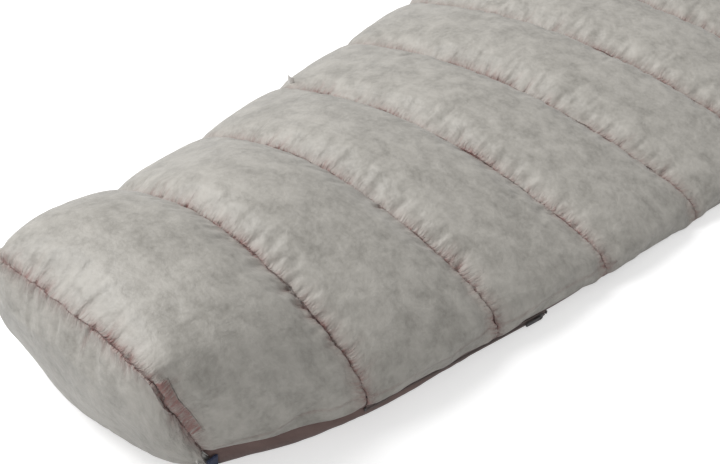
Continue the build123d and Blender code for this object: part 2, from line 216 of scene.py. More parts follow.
def new_piece(name, points, faces, material, smooth=True):
    """An object with one mesh; faces is an array, or a list when they differ in size."""
    mesh = bpy.data.meshes.new(name)
    faces = faces if isinstance(faces, list) else faces.tolist()
    mesh.from_pydata(np.asarray(points).reshape(-1, 3).tolist(), [], faces)
    mesh.polygons.foreach_set("use_smooth", [smooth] * len(mesh.polygons))
    mesh.update()
    obj = bpy.data.objects.new(name, mesh)
    bpy.context.scene.collection.objects.link(obj)
    if material:
        mesh.materials.append(material)
    return obj


def add_field(obj, name, values):
    """Stores one number or one vector per point, so that colour and bump stay with the cloth."""
    values = np.asarray(values, dtype=float)
    kind = "FLOAT_VECTOR" if values.ndim > 1 and values.shape[-1] == 3 else "FLOAT"
    field = obj.data.attributes.new(name, kind, "POINT")
    field.data.foreach_set("vector" if kind == "FLOAT_VECTOR" else "value", values.ravel())


def thicken(obj, thickness, offset):
    """offset -1 grows the cloth inwards, and 0 to both sides."""
    solid = obj.modifiers.new("thickness", "SOLIDIFY")
    solid.thickness = thickness
    solid.offset = offset


def soften_edges(obj, width):
    bevel = obj.modifiers.new("soft_edges", "BEVEL")
    bevel.width = width
    bevel.segments = 2
    bevel.limit_method = "ANGLE"


def sheet(name, grid, material, pink=0, thick=0):
    """A piece of cloth made from a grid, with its own flat coordinates and pinkness."""
    rows, columns = grid.shape[:2]
    obj = new_piece(name, grid, grid_faces(rows, columns), material)
    flat = np.stack([along(grid, 1), along(grid, 0), np.zeros((rows, columns))], axis=2)
    middle = columns // 2
    flat[..., 0:1] -= flat[:, middle : middle + 1, 0:1]
    flat[..., 1] = flat[:, middle : middle + 1, 1] + grid[0, middle, 1]
    add_field(obj, "cloth", flat)
    add_field(obj, "pink", np.broadcast_to(pink, (rows, columns)))
    if thick:
        thicken(obj, thick, -1)
    return obj


def stand_in(obj, body, *nodes):
    """Rides a piece on a body, in place of the CAD nodes it replaces."""
    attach(obj, body)
    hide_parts(*nodes)


# ------ shape of one cross-section
def arch(half, low, high, full, count):
    """Points (x, z) over an arch from -half to +half."""
    t = np.linspace(0, 1, 120)[:, None]
    p = np.array([(half, low), (half, low + full * (high - low)), (full * half, high), (0, high)])
    right = (1 - t) ** 3 * p[0] + 3 * (1 - t) ** 2 * t * p[1] + 3 * (1 - t) * t**2 * p[2] + t**3 * p[3]
    left = right * (-1, 1)
    return resampled(np.vstack([left, right[::-1][1:]]), count)


def mirrored(crown, right):
    """A whole outline from the crown and the right edge that follows it."""
    left = right[::-1] * (-1, 1)
    return np.vstack([left, crown, right])


def outer_outline(half, top, base, full, tuck, crown_steps, turn_steps, tuck_steps):
    """Outer fabric: crown, turned side edges and the parts folded under."""
    height = base + EDGE_RADIUS
    crown = arch(half, height, top, full, crown_steps + 1)
    angle = np.linspace(0, -math.pi / 2, turn_steps + 1)[1:]
    turn_x = half - EDGE_RADIUS + EDGE_RADIUS * np.cos(angle)
    turn = np.column_stack([turn_x, height + EDGE_RADIUS * np.sin(angle)])
    under_x = np.linspace(half - EDGE_RADIUS, half - tuck, tuck_steps + 1)[1:]
    under = np.column_stack([under_x, np.full(tuck_steps, base)])
    return mirrored(crown, np.vstack([turn, under]))


def inner_outline(half, top, base, full, tuck, crown_steps, shelf_steps):
    """Lining: the arch inside, and the shelf it makes over the folded edges."""
    shelf = base + TUCK_THICKNESS
    inside = half - SIDE_THICKNESS
    crown = arch(inside, shelf, top, full, crown_steps + 1)
    under_x = np.linspace(inside, half - tuck, shelf_steps + 1)[1:]
    return mirrored(crown, np.column_stack([under_x, np.full(shelf_steps, shelf)]))


def swelling(at):
    """How far a chamber stands up: 0 on its seams and 1 in its middle, steep next to the seams."""
    share = at - np.floor(at)
    return np.maximum(0, 1 - np.abs(2 * share - 1) ** 2.3) ** 0.62


def chamber_rows(count, first, last):
    """Places of the rows of a grid, counted in seams and closer together near each seam."""
    t = np.arange(count) / count
    share = 0.5 * t + 0.25 * (1 - np.cos(math.pi * t))
    return np.concatenate([k + share for k in range(first, last)] + [[last]])


def tuck_width(at):
    """How far the side edges are folded under."""
    return TUCK_FOOT + (TUCK_BODY - TUCK_FOOT) * np.clip(at - POCKET_SEAM, 0, 1)


def fullness(at):
    """How boxy the arch is."""
    return ROUND_ARCH + (BOXY_ARCH - ROUND_ARCH) * np.clip(1 - at, 0, 1)


def stacked(at, lines):
    """A grid with one outline per row, each standing at its own y."""
    lines = np.array(lines)
    y = np.broadcast_to(between(at, Y)[:, None], lines.shape[:2])
    return np.stack([lines[:, :, 0], y, lines[:, :, 1]], axis=2)


# The foot seam leans back down both corners, and the end panel's ground line is bowed.
CORNER_LEAN = 46 * MM
CORNER_TOP = 130 * MM  # the lean ends at this height
FAR_PINCH = 8 * MM  # the far corner is drawn in
FAR_SLOPE = 9 * MM  # and so is the far side, over the feet and legs
GROUND_BOW = 46 * MM
GROUND_OUT = -10 * MM  # middle of the ground line, in front of the foot seam when above zero
GROUND_INSET = 3 * MM  # the ground line stops this far inside the hem at its ends
GROUND_LINE_Z = 1.0 * MM
END_PUFF = 20 * MM
END_CLEAR = 0.8 * MM  # the puffed end panel stays this far above the ground
FLOOR_BACK = 3 * MM  # the floor starts this far behind the ground line


def foot_fade(at):
    """1 on the foot seam and 0 from the first seam on."""
    return np.clip(1 - at, 0, 1) ** 1.5


def leaned(grid, at):
    """Moves the low corners of every layer towards the head, as far as the foot seam leans there."""
    side = np.clip(np.abs(grid[:, :, 0]) / seams[0, HALF], 0, 1) ** 2
    low = np.clip(1 - grid[:, :, 2] / CORNER_TOP, 0, 1)
    fade = foot_fade(at)[:, None]
    grid[:, :, 1] += CORNER_LEAN * side * low * fade
    pinch = FAR_PINCH * fade + FAR_SLOPE * lofted(at)[:, None]
    grid[:, :, 0] += pinch * side * (grid[:, :, 0] < 0)
    return grid


def hem_line(at):
    """y and x of the hem's lower edge, which leans back at the foot corners."""
    lean = CORNER_LEAN * (1 - between(at, BASE) / CORNER_TOP) * foot_fade(at)
    return between(at, Y) + lean, between(at, HALF)


def bowed(grid, at):
    """Draws the foot end of the pocket's floor back behind the bowed ground line, inside the hem."""
    hem_y, hem_x = hem_line(at)
    share = np.clip(np.abs(grid[:, :, 0]) / hem_x[:, None], 0, 1)
    fade = foot_fade(at)[:, None]
    back = GROUND_BOW * share**2 - GROUND_OUT + FLOOR_BACK - 0.8 * grid[:, :, 2] * share**2
    grid[:, :, 1] += back * fade
    grid[:, :, 0] *= np.interp(grid[:, :, 1], hem_y, hem_x) / hem_x[:, None]
    grid[:, :, 0] += FAR_PINCH * share**2 * fade * (grid[:, :, 0] < 0)
    return grid


def layer(at, puff, top, outline, steps):
    """One layer of cloth from the foot seam to the head, with an outline on every row."""
    half = between(at, HALF) + SIDE_BULGE * puff
    base = np.maximum(between(at, BASE), 0)
    lines = []
    for k, place in enumerate(at):
        lines.append(outline(half[k], top[k], base[k], fullness(place), tuck_width(place), *steps))
    return leaned(stacked(at, lines), at)


def outer_grid(at, rise, steps):
    """Outer fabric; rise is how far the chambers stand up."""
    puff = swelling(at) * rise
    return layer(at, puff, between(at, TOP) + CREST * puff, outer_outline, steps)


def inner_grid(at, steps):
    """Lining, which sags a little in each chamber."""
    puff = swelling(at)
    return layer(at, puff, between(at, TOP) - THICKNESS - LINING_SAG * puff, inner_outline, steps)


def end_grid(at, seam_row, rise, edge):
    """The pillow of the end panel, from its ground line (at -1) up to the foot seam (at 0)."""
    columns = len(seam_row)
    wide = (np.arange(columns) - edge) / (columns - 1 - 2 * edge) * 2 - 1
    share = np.clip(wide, -1, 1)
    half = seams[0, HALF] - GROUND_INSET
    ground_y = foot_y - GROUND_OUT + GROUND_BOW * share**2
    ground = np.column_stack([(2 * share - wide) * half, ground_y, np.full(columns, GROUND_LINE_Z)])
    ground[:, 0] += FAR_PINCH * share**2 * (share < 0)
    up = (at + 1)[:, None, None]
    grid = ground * (1 - up) + seam_row * up
    side = grid[:, :, 0] / half
    out = np.stack([0.6 * side**3, -np.ones_like(side), 1.1 * (up[:, :, 0] - 0.45) + 0 * side], axis=2)
    out /= np.linalg.norm(out, axis=2, keepdims=True)
    swell = (swelling(at) * END_PUFF * rise)[:, None] * (1 - 0.6 * np.abs(share) ** 6)
    grid = grid + out * swell[:, :, None]
    grid[:, :, 2] = np.maximum(grid[:, :, 2], END_CLEAR)
    return grid


# ------ materials
# The scale of a noise is its lumps per metre, and a bump's distance is its height.
def rgb(red, green, blue):
    return (red, green, blue, 1)


def lighter(colour, times):
    return tuple(min(1, times * c + 0.01) for c in colour[:3]) + (1,)


SHELL_GREY = rgb(0.43, 0.41, 0.373)
SHELL_DARK = rgb(0.29, 0.275, 0.247)
SHELL_LIGHT = rgb(0.56, 0.54, 0.50)
DUSTY_PINK = rgb(0.30, 0.165, 0.15)
LINING_PINK = rgb(0.40, 0.25, 0.225)
# Pinkish-taupe cloth of the pocket's floor, edge tapes and binding, darkened with painted shade because the
# strip lies in shade under the hem.
SHADED_STRIP_TAUPE = rgb(0.22, 0.145, 0.13)
NAVY = rgb(0.025, 0.035, 0.08)


class Shader:
    """A node material written a line at a time."""

    def __init__(self, name):
        self.material = bpy.data.materials.new(name)
        self.material.use_nodes = True
        self.tree = self.material.node_tree
        self.main = self.tree.nodes["Principled BSDF"]

    def feed(self, socket, value):
        """Links another node's output into a socket, or sets the socket's own value."""
        if isinstance(value, bpy.types.NodeSocket):
            self.tree.links.new(value, socket)
        else:
            socket.default_value = value

    def node(self, kind, inputs=None, **settings):
        made = self.tree.nodes.new("ShaderNode" + kind)
        for key, value in settings.items():
            setattr(made, key, value)
        for key, value in (inputs or {}).items():
            self.feed(made.inputs[key], value)
        return made

    def set(self, **inputs):
        for key, value in inputs.items():
            self.feed(self.main.inputs[key.replace("_", " ")], value)

    def field(self, name):
        return self.node("Attribute", attribute_name=name)

    def place(self):
        return self.node("TexCoord").outputs["Object"]

    def noise(self, vector, scale, detail=2.0, rough=0.5, distort=0.0):
        made = self.node(
            "TexNoise",
            {"Vector": vector, "Scale": scale, "Detail": detail, "Roughness": rough, "Distortion": distort},
        )
        return made.outputs["Fac"]

    def math(self, operation, *values):
        return self.node("Math", dict(enumerate(values)), operation=operation).outputs[0]

    def remap(self, value, low, high, to_low=0.0, to_high=1.0):
        limits = {"From Min": low, "From Max": high, "To Min": to_low, "To Max": to_high}
        return self.node("MapRange", {"Value": value, **limits}).outputs["Result"]

    def mix(self, share, first, second):
        """A mix of two colours."""
        return self.node("Mix", {0: share, 6: first, 7: second}, data_type="RGBA").outputs[2]

    def bump(self, height, distance, strength=1.0, after=None):
        inputs = {"Height": height, "Distance": distance, "Strength": strength}
        if after is not None:
            inputs["Normal"] = after
        return self.node("Bump", inputs).outputs["Normal"]

    def weave(self, vector, threads_per_metre):
        """Crossing threads: two sets of waves at right angles."""
        split = self.node("SeparateXYZ", {"Vector": vector})
        waves = []
        for axis in ("X", "Y"):
            turned = self.math("MULTIPLY", split.outputs[axis], threads_per_metre * 2 * math.pi)
            waves.append(self.math("SINE", turned))
        return self.math("MULTIPLY", *waves)


def shell_material():
    """Thin satin fabric with clumps of down showing through it, pinker along the seams."""
    s = Shader("shell_fabric")
    cloth = s.field("cloth").outputs["Vector"]
    clumps = s.noise(cloth, 40, detail=6, rough=0.6, distort=0.25)
    lumps = s.noise(cloth, 14, detail=2, rough=0.5)
    cloud = s.math("ADD", s.math("MULTIPLY", clumps, 0.7), s.math("MULTIPLY", lumps, 0.3))
    base = s.mix(s.remap(cloud, 0.38, 0.60), SHELL_DARK, SHELL_GREY)
    grain = s.noise(cloth, 170, detail=4, rough=0.6)
    base = s.mix(s.remap(grain, 0.38, 0.68, 0.0, 0.3), base, SHELL_LIGHT)
    pink = s.field("pink").outputs["Fac"]
    stretched = s.node("VectorMath", {0: cloth, 1: (1, 0.22, 1)}, operation="MULTIPLY").outputs["Vector"]
    shirring = s.noise(stretched, 300, detail=3, rough=0.6, distort=0.2)
    streak = s.remap(shirring, 0.35, 0.65, 0.3, 1.3)
    colour = s.mix(s.math("MULTIPLY", pink, streak), base, DUSTY_PINK)
    near_seam = s.remap(pink, 0.0, 0.5)
    gathers = s.bump(s.math("MULTIPLY", shirring, near_seam), 5 * MM, 0.8)
    soft = s.bump(clumps, 4 * MM, 0.55, after=gathers)
    fine = s.bump(grain, 1.0 * MM, 0.5, after=soft)
    woven = s.bump(s.weave(cloth, 900), 0.05 * MM, 0.5, after=fine)
    s.set(Base_Color=colour, Roughness=s.remap(clumps, 0.3, 0.7, 0.40, 0.55), Normal=woven)
    s.set(Sheen_Weight=0.2, Sheen_Roughness=0.4, Specular_IOR_Level=0.45)
    return s.material


def plain_cloth(name, colour, dark, weave=900, rough=0.6):
    """A plain woven cloth with soft colour variation."""
    s = Shader(name)
    cloth = s.field("cloth").outputs["Vector"]
    shade = s.remap(s.noise(cloth, 24, detail=4, rough=0.6), 0.3, 0.7)
    s.set(Base_Color=s.mix(shade, dark, colour))
    soft = s.bump(s.noise(cloth, 60, detail=3), 1.2 * MM, 0.5)
    s.set(Normal=s.bump(s.weave(cloth, weave), 0.06 * MM, 0.6, after=soft))
    s.set(Roughness=rough, Sheen_Weight=0.25, Sheen_Roughness=0.45)
    return s.material


def thread_material():
    s = Shader("seam_thread")
    shade = s.noise(s.place(), 90)
    s.set(Base_Color=s.mix(shade, rgb(0.10, 0.055, 0.05), rgb(0.22, 0.13, 0.12)))
    s.set(Roughness=0.75, Normal=s.bump(s.noise(s.place(), 1800), 0.1 * MM, 0.6))
    return s.material


def down_material():
    """Clusters of white down."""
    s = Shader("down")
    tufts = s.node("TexVoronoi", {"Vector": s.place(), "Scale": 85}).outputs["Distance"]
    fluff = s.noise(s.place(), 260, detail=5, rough=0.7)
    s.set(Base_Color=s.mix(fluff, rgb(0.62, 0.60, 0.56), rgb(0.85, 0.84, 0.80)))
    height = s.math("ADD", tufts, fluff)
    s.set(Roughness=0.95, Sheen_Weight=0.5, Normal=s.bump(height, 3 * MM, 0.8))
    return s.material


def mesh_material():
    """Fine netting of the walls between chambers."""
    s = Shader("mesh")
    net = s.weave(s.place(), 420)
    s.set(Base_Color=s.mix(s.remap(net, -0.4, 0.6), rgb(0.30, 0.29, 0.27), rgb(0.62, 0.60, 0.57)))
    s.set(Roughness=0.7, Normal=s.bump(net, 0.3 * MM, 0.8))
    return s.material


def webbing_material(name, colour, ribs):
    s = Shader(name)
    split = s.node("SeparateXYZ", {"Vector": s.place()})
    diagonal = s.math("ADD", split.outputs["Y"], split.outputs["Z"])
    twill = s.math("SINE", s.math("MULTIPLY", diagonal, ribs * 2 * math.pi))
    shade = s.noise(s.place(), 400, detail=3)
    s.set(Base_Color=s.mix(shade, colour, lighter(colour, 1.9)))
    s.set(Roughness=0.8, Sheen_Weight=0.2, Normal=s.bump(twill, 0.25 * MM, 0.8))
    return s.material


def metal_material():
    s = Shader("zip_metal")
    worn = s.noise(s.place(), 300, detail=4)
    s.set(Base_Color=s.mix(worn, rgb(0.16, 0.16, 0.17), rgb(0.34, 0.33, 0.33)))
    s.set(Metallic=1.0, Roughness=s.remap(worn, 0.3, 0.7, 0.28, 0.5))
    s.set(Normal=s.bump(worn, 0.05 * MM, 0.3))
    return s.material


def plastic_material(name, colour, rough=0.45):
    s = Shader(name)
    grain = s.noise(s.place(), 900, detail=3)
    s.set(Base_Color=s.mix(grain, colour, lighter(colour, 1.25)))
    s.set(Roughness=s.remap(grain, 0.3, 0.7, rough - 0.06, rough + 0.08))
    s.set(Normal=s.bump(grain, 0.06 * MM, 0.4))
    return s.material


def steel_material():
    s = Shader("spring_steel")
    drawn = s.noise(s.place(), 1500)
    s.set(Base_Color=s.mix(drawn, rgb(0.45, 0.45, 0.46), rgb(0.62, 0.62, 0.63)))
    s.set(Metallic=1.0, Roughness=0.25, Normal=s.bump(drawn, 0.03 * MM, 0.3))
    return s.material


shell_look = shell_material()
lining_look = plain_cloth("lining_fabric", LINING_PINK, rgb(0.30, 0.18, 0.16))
# Strip cloth: its own pinkish-taupe plus painted shade, so both shades of it are darker than the shell.
shaded_strip_look = plain_cloth("binding", SHADED_STRIP_TAUPE, rgb(0.15, 0.095, 0.085))
tape_look = plain_cloth("zip_tape_cloth", rgb(0.20, 0.15, 0.14), rgb(0.13, 0.10, 0.09), weave=600)
thread_look = thread_material()
down_look = down_material()
mesh_look = mesh_material()
navy_look = webbing_material("navy_webbing", NAVY, 700)
label_look = plain_cloth("label", rgb(0.62, 0.60, 0.57), rgb(0.52, 0.50, 0.47), weave=1200, rough=0.5)
cord_look = webbing_material("cord", rgb(0.10, 0.095, 0.09), 500)
coil_look = plastic_material("zip_coil", rgb(0.12, 0.09, 0.085), 0.35)
metal_look = metal_material()
lock_look = plastic_material("lock_plastic", rgb(0.035, 0.035, 0.038))
steel_look = steel_material()


# ------ outer fabric of the quilted top
CROWN_STEPS = 108
TURN_STEPS = 3
TUCK_STEPS = 5
STEPS = (CROWN_STEPS, TURN_STEPS, TUCK_STEPS)
SIM_ROWS = 18  # simulated rows of one chamber
FINE_ACROSS = 4  # final grid steps per simulated step
FINE_ROWS = 4
ROWS = SIM_ROWS * FINE_ROWS  # final rows of one chamber
START_RISE = 0.84  # the simulation puffs chambers that start this full
MOST_RISE = 4 * MM  # the simulated cloth stays this near the CAD shape
MOST_SINK = 4 * MM


def whole_outside(at, rise):
    """End panel and quilted top in one grid, so that one simulation puffs both."""
    top = outer_grid(at[at >= 0], rise, STEPS)
    return np.concatenate([end_grid(at[at < 0], top[0], rise, TUCK_STEPS), top])


def held_points(rows, columns):
    """The seams and everything that lies on the ground stay put."""
    held = np.zeros((rows, columns), bool)
    held[::SIM_ROWS] = True
    edge = TUCK_STEPS + 1
    held[:, :edge] = True
    held[:, -edge:] = True
    return held


def blown_up(grid, held, pressure, slack, frames):
    """The sheet after a cloth simulation that puffs it up from inside."""
    rows, columns = grid.shape[:2]
    obj = new_piece("puffing", grid, grid_faces(rows, columns), None)
    group = obj.vertex_groups.new(name="held")
    group.add(np.flatnonzero(held.ravel()).tolist(), 1.0, "REPLACE")
    cloth = obj.modifiers.new("cloth", "CLOTH")
    cloth.settings.vertex_group_mass = "held"
    cloth.settings.quality = 4
    cloth.settings.mass = 0.05
    cloth.settings.tension_stiffness = 12
    cloth.settings.compression_stiffness = 12
    cloth.settings.shear_stiffness = 4
    cloth.settings.bending_stiffness = 0.02
    cloth.settings.shrink_min = -slack
    cloth.settings.use_pressure = True
    cloth.settings.uniform_pressure_force = pressure
    cloth.settings.effector_weights.gravity = 0
    cloth.collision_settings.use_collision = False
    cloth.point_cache.frame_start, cloth.point_cache.frame_end = 1, frames
    for step in range(1, frames + 1):
        bpy.context.scene.frame_set(step)
    shaped = obj.evaluated_get(bpy.context.evaluated_depsgraph_get())
    flat = np.zeros(rows * columns * 3)
    shaped.data.vertices.foreach_get("co", flat)
    bpy.data.objects.remove(obj)
    bpy.context.scene.frame_set(1)
    return flat.reshape(rows, columns, 3)


def softened(field, held):
    """Averages a field with its neighbours, except on the held points."""
    padded = np.pad(field, ((1, 1), (1, 1), (0, 0)), mode="edge")
    around = padded[:-2, 1:-1] + padded[2:, 1:-1] + padded[1:-1, :-2] + padded[1:-1, 2:]
    return np.where(held[:, :, None], field, 0.4 * field + 0.15 * around)


def puffed_outside():
    """Simulated sheet, kept within a few millimetres of the CAD shape."""
    at = chamber_rows(SIM_ROWS, -1, CHAMBERS)
    full = whole_outside(at, 1)
    start = whole_outside(at, START_RISE)
    held = held_points(*start.shape[:2])
    move = softened(blown_up(start, held, pressure=8, slack=0.04, frames=12) - full, held)
    up = normals(full)
    rise = (move * up).sum(axis=2, keepdims=True)
    return at, full + move + up * (np.clip(rise, -MOST_SINK, MOST_RISE) - rise)


def fine_outside(at, coarse):
    """The simulated sheet on a finer grid that keeps its sharp seams."""
    across = refine_across(coarse, FINE_ACROSS)
    strips = []
    for first in range(0, len(at) - 1, SIM_ROWS):
        strips.append(refine(across[first : first + SIM_ROWS + 1], FINE_ROWS)[:-1])
    fine_at = np.interp(np.arange((len(at) - 1) * FINE_ROWS + 1) / FINE_ROWS, np.arange(len(at)), at)
    return fine_at, np.concatenate(strips + [across[-1:]])


def from_seam(grid):
    """Distance along the cloth from the nearest seam, above zero on its head side."""
    gaps = []
    for first in range(0, len(grid) - 1, ROWS):
        gone = along(grid[first : first + ROWS + 1], 0)
        gaps.append(np.where(gone < gone[-1:] / 2, gone, gone - gone[-1:])[:-1])
    return np.concatenate(gaps + [np.zeros_like(gaps[0][:1])])


# ------ what the thread does to the cloth
# across and run are distances along the cloth from the quilt's middle line and from the ground line at the
# foot; gap is the distance from the nearest seam, and seam_id a number that makes each seam's noise its own.
# noise(across / 0.05, ...) has lumps about 50 mm long.
OVERHANG = 3.2 * MM  # the puffed cloth leans over each seam from both sides
OVERHANG_REACH = 5 * MM  # most of all this far from it
WANDER_REACH = 14 * MM
SEAM_GRIP = 1.2 * MM  # the thread holds the cloth down this near the seam
PLEAT_HEIGHT = 1.2 * MM
PLEAT_REACH = (12 * MM, 8 * MM)  # on the head side and the foot side of a seam
CRINKLE_HEIGHT = 2.4 * MM
CRINKLE_REACH = 9 * MM
WAVE_HEIGHT = 1.6 * MM
WAVE_CLEAR = 30 * MM  # waves are calmer this near a seam
CRUMPLE_HEIGHT = 0.22 * MM
PINK_REACH = 6.5 * MM
HEM_BAND = 10 * MM  # the pocket's lower edge is sewn flat for this height
HEM_GROOVE = 1.1 * MM
HEM_MIDDLE, HEM_REACH = 1.6, 1.5  # where the sewn hem is, in seams
PATCH_LOW, PATCH_HIGH = 74 * MM, 150 * MM  # the corner patch's heights above the ground
PATCH_START, PATCH_END = 2 * MM, 15 * MM  # and its distances from the foot seam


def seam_slide(across, gap, seam_id):
    """How far the cloth slides along itself: each seam wanders, and the chambers lean over it."""
    wander = 2.2 * noise(across / 0.05, seam_id, 17) + 1.8 * noise(across / 0.017, seam_id, 18)
    overhang = OVERHANG * (gap / OVERHANG_REACH) * np.exp(1 - np.abs(gap) / OVERHANG_REACH)
    return wander * MM * bump(gap, WANDER_REACH) - overhang


def seam_gathers(across, gap, seam_id):
    """Height of the pleats and of the finer crinkles beside a seam, and how crinkled each place is."""
    reach = np.where(gap > 0, *PLEAT_REACH) * (1.15 + 0.8 * noise(across / 0.035, seam_id, 11))
    close = np.exp(-((np.abs(gap) / reach) ** 1.6))
    tight = np.exp(-((np.abs(gap) / CRINKLE_REACH) ** 1.6))
    free = 1 - bump(gap, SEAM_GRIP)
    skew = across + 5 * MM * noise(across / 0.022, gap / 0.014 + seam_id, 19)
    strength = np.clip(0.7 + 0.9 * noise(across / 0.06, seam_id, 24), 0.15, 1.4)
    fold = pleats(skew / 0.0105, gap / 0.035 + seam_id, 12)
    fold += 0.7 * pleats(across / 0.021, gap / 0.05 + seam_id, 13)
    crinkle = pleats(skew / 0.0068, gap / 0.010 + seam_id, 20)
    height = (fold - 0.9) * PLEAT_HEIGHT * strength * close * free
    return height + (crinkle - 0.6) * CRINKLE_HEIGHT * tight * free, crinkle


def loose_waves(across, run, gap):
    """Heights of slow waves over a chamber, calmer beside its seams, and of a fine crumple everywhere."""
    away = 1 - bump(gap, WAVE_CLEAR)
    broad = noise(across / 0.06, run / 0.085, 14) + 0.4 * noise(across / 0.03, run / 0.04, 15)
    fine = noise(across / 0.014, run / 0.012, 16)
    return broad * WAVE_HEIGHT * (0.3 + 0.7 * away), fine * CRUMPLE_HEIGHT


def seam_pink(across, gap, seam_id, crinkle):
    """The lining's pink shining through beside a seam, in patches and most on the near side."""
    patchy = np.clip(0.95 + 0.7 * noise(across / 0.04, seam_id, 23), 0.35, 1.4)
    patchy += 0.5 * np.clip(across / (0.3 * across[:, -1:]) - 1.2, 0, 1)
    return patchy * np.exp(-((np.abs(gap) / PINK_REACH) ** 1.2)) * (1.2 - 0.6 * np.minimum(crinkle, 1))


def puckers(across, gap, nearest):
    """Longer folds pulled in at the seams, most of them at the ends of the first few."""
    random = np.random.default_rng(21)
    depth = np.zeros_like(gap)
    for number in range(CHAMBERS):
        rows = np.flatnonzero(nearest == number)
        s, d = across[rows], gap[rows]
        reach = seams[number, HALF] + 0.03
        for _ in range(26 if number < POCKET_SEAM else 15):
            place = random.uniform(-1, 1) * reach
            if number in (1, 2) and random.uniform() < 0.5:
                place = reach * random.uniform(0.45, 1)
            length = random.uniform(14, 38) * MM
            lean = random.uniform(-0.35, 0.35)
            width = random.uniform(1.6, 3.2) * MM
            deep = random.uniform(1.2, 3.6) * MM
            side = 1 if random.uniform() < 0.7 else -1
            away = d * side
            line = bump(s - place - lean * away, width * (1 + np.maximum(away, 0) / length))
            fade = np.clip(1 - away / length, 0, 1) ** 1.3 * np.clip(away / (2 * MM), 0, 1)
            depth[rows] = np.maximum(depth[rows], deep * line * fade)
    return depth, depth * (0.16 / MM)


def above_hem(at, across):
    """Distance along the cloth above the top of the sewn hem, negative on the hem and under it."""
    lower_edge = np.abs(across[:, -1:]) - np.abs(across) - tuck_width(at)[:, None] - EDGE_RADIUS * 0.6
    return lower_edge - HEM_BAND


def corner_patch(grid, gap, nearest):
    """A smooth pink facing sewn on just past the near corner of the foot seam."""
    beside = np.clip((gap - PATCH_START) / (1.5 * MM), 0, 1) * np.clip((PATCH_END - gap) / (1.5 * MM), 0, 1)
    height = grid[:, :, 2]
    tall = np.clip((height - PATCH_LOW) / (2 * MM), 0, 1) * np.clip((PATCH_HIGH - height) / (2 * MM), 0, 1)
    near_side = (grid[:, :, 0] > 0.8 * seams[0, HALF]) & (nearest == 0)[:, None]
    return beside * tall * near_side


def edge_calm(at, across):
    """1 over the quilt, falling to almost 0 on the parts folded under."""
    side = np.abs(across) / np.abs(across[:, -1:])
    fold = 1 - (tuck_width(at) / np.abs(across[:, -1]))[:, None]
    return np.clip((fold - side) / 0.03 + 0.3, 0.1, 1)


def gathered(at, grid):
    """Adds the gathers, puckers, sewn hem and patch. Returns the new grid and its pinkness."""
    middle = grid.shape[1] // 2
    across = along(grid, 1)
    across -= across[:, middle : middle + 1]
    run = along(grid, 0)
    gap = from_seam(grid)
    nearest = np.round(at).astype(int)
    seam_id = (nearest[:, None] + 2) * 5.37
    calm = edge_calm(at, across)
    ahead = np.gradient(grid, axis=0)
    ahead /= np.linalg.norm(ahead, axis=2, keepdims=True)
    sewn = ((nearest >= 0) & (nearest < CHAMBERS))[:, None]
    slide = seam_slide(across, gap, seam_id) * calm * sewn
    grid = grid + ahead * slide[:, :, None]
    up = normals(grid)

    height, crinkle = seam_gathers(across, gap, seam_id)
    for waves in loose_waves(across, run, gap):
        height += waves
    dent, dent_pink = puckers(across, gap, nearest)
    height -= dent
    pink = np.clip(seam_pink(across, gap, seam_id, crinkle) + dent_pink, 0, 1)

    over_hem = above_hem(at, across)
    hemmed = (np.abs(at - HEM_MIDDLE) < HEM_REACH)[:, None]
    height *= calm * (1 - 0.75 * hemmed * np.clip(-over_hem / (3 * MM), 0, 1))
    height -= HEM_GROOVE * bump(over_hem, 1.3 * MM) * hemmed
    pink = np.clip(pink + 0.25 * bump(over_hem, 2 * MM) * hemmed, 0, 1)

    patch = corner_patch(grid, gap, nearest)
    moved = grid + up * (height * (1 - 0.85 * patch))[:, :, None]
    moved[:, :, 2] = np.maximum(moved[:, :, 2], GROUND_CLEAR)
    return moved, np.maximum(pink * (1 - patch), 0.95 * patch)


at_coarse, coarse = puffed_outside()
at_fine, outside = fine_outside(at_coarse, coarse)
outside, outside_pink = gathered(at_fine, outside)
outside_up = normals(outside)

# ------ pieces of the outer fabric
PIECES = {
    "outer_fabric_toes": (0, 2),
    "outer_fabric_shins": (2, 4),
    "outer_fabric_knees": (4, 6),
    "outer_fabric_hips": (6, 8),
    "outer_fabric_chest": (8, 10),
    "outer_fabric_head": (10, CHAMBERS),
}


def rows_between(first, last):
    """Fine rows from seam first to seam last; the end panel runs from seam -1 to seam 0."""
    return slice((first + 1) * ROWS, (last + 1) * ROWS + 1)


def ride_or_bend(obj, first):
    """Cloth footward of the fold rides the foot half, cloth over it keeps its baked place and rides neither
    half, the rest rides the head half.
    """
    if first < FOLD_SEAM - 1:
        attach(obj, "foot_half")
    elif first < FOLD_SEAM + 1:
        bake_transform(obj)
    else:
        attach(obj, "head_half")


top_pieces = {}
for name, (first, last) in PIECES.items():
    rows = rows_between(first, last)
    top_pieces[name] = sheet(name, outside[rows], shell_look, outside_pink[rows])
    ride_or_bend(top_pieces[name], first)
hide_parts("shell_foot_half")
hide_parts("shell_head_half")

tucked = TUCK_STEPS * FINE_ACROSS  # columns folded under at each side
half_tucked = slice(tucked // 2, -tucked // 2)
end_part = (rows_between(-1, 0), half_tucked)
end_fabric = sheet("foot_end_fabric", outside[end_part], shell_look, outside_pink[end_part])
stand_in(end_fabric, "foot_half", "foot_end_shell")


# ------ floor of the foot pocket
FLOOR_INSET = 13 * MM
FLOOR_ROWS = 30
FLOOR_PUFF = 5 * MM
FLOOR_CLOTH = 0.6 * MM
FLOOR_Z = 0.4 * MM
FLOOR_STEPS = 60
LIP = 22 * MM  # the floor fabric is folded this far in over the floor's lining


def floor_edge(at):
    """Half width and top of the pocket's floor."""
    return between(at, HALF) - FLOOR_INSET, between(at, BASE) - FLOOR_PLAY


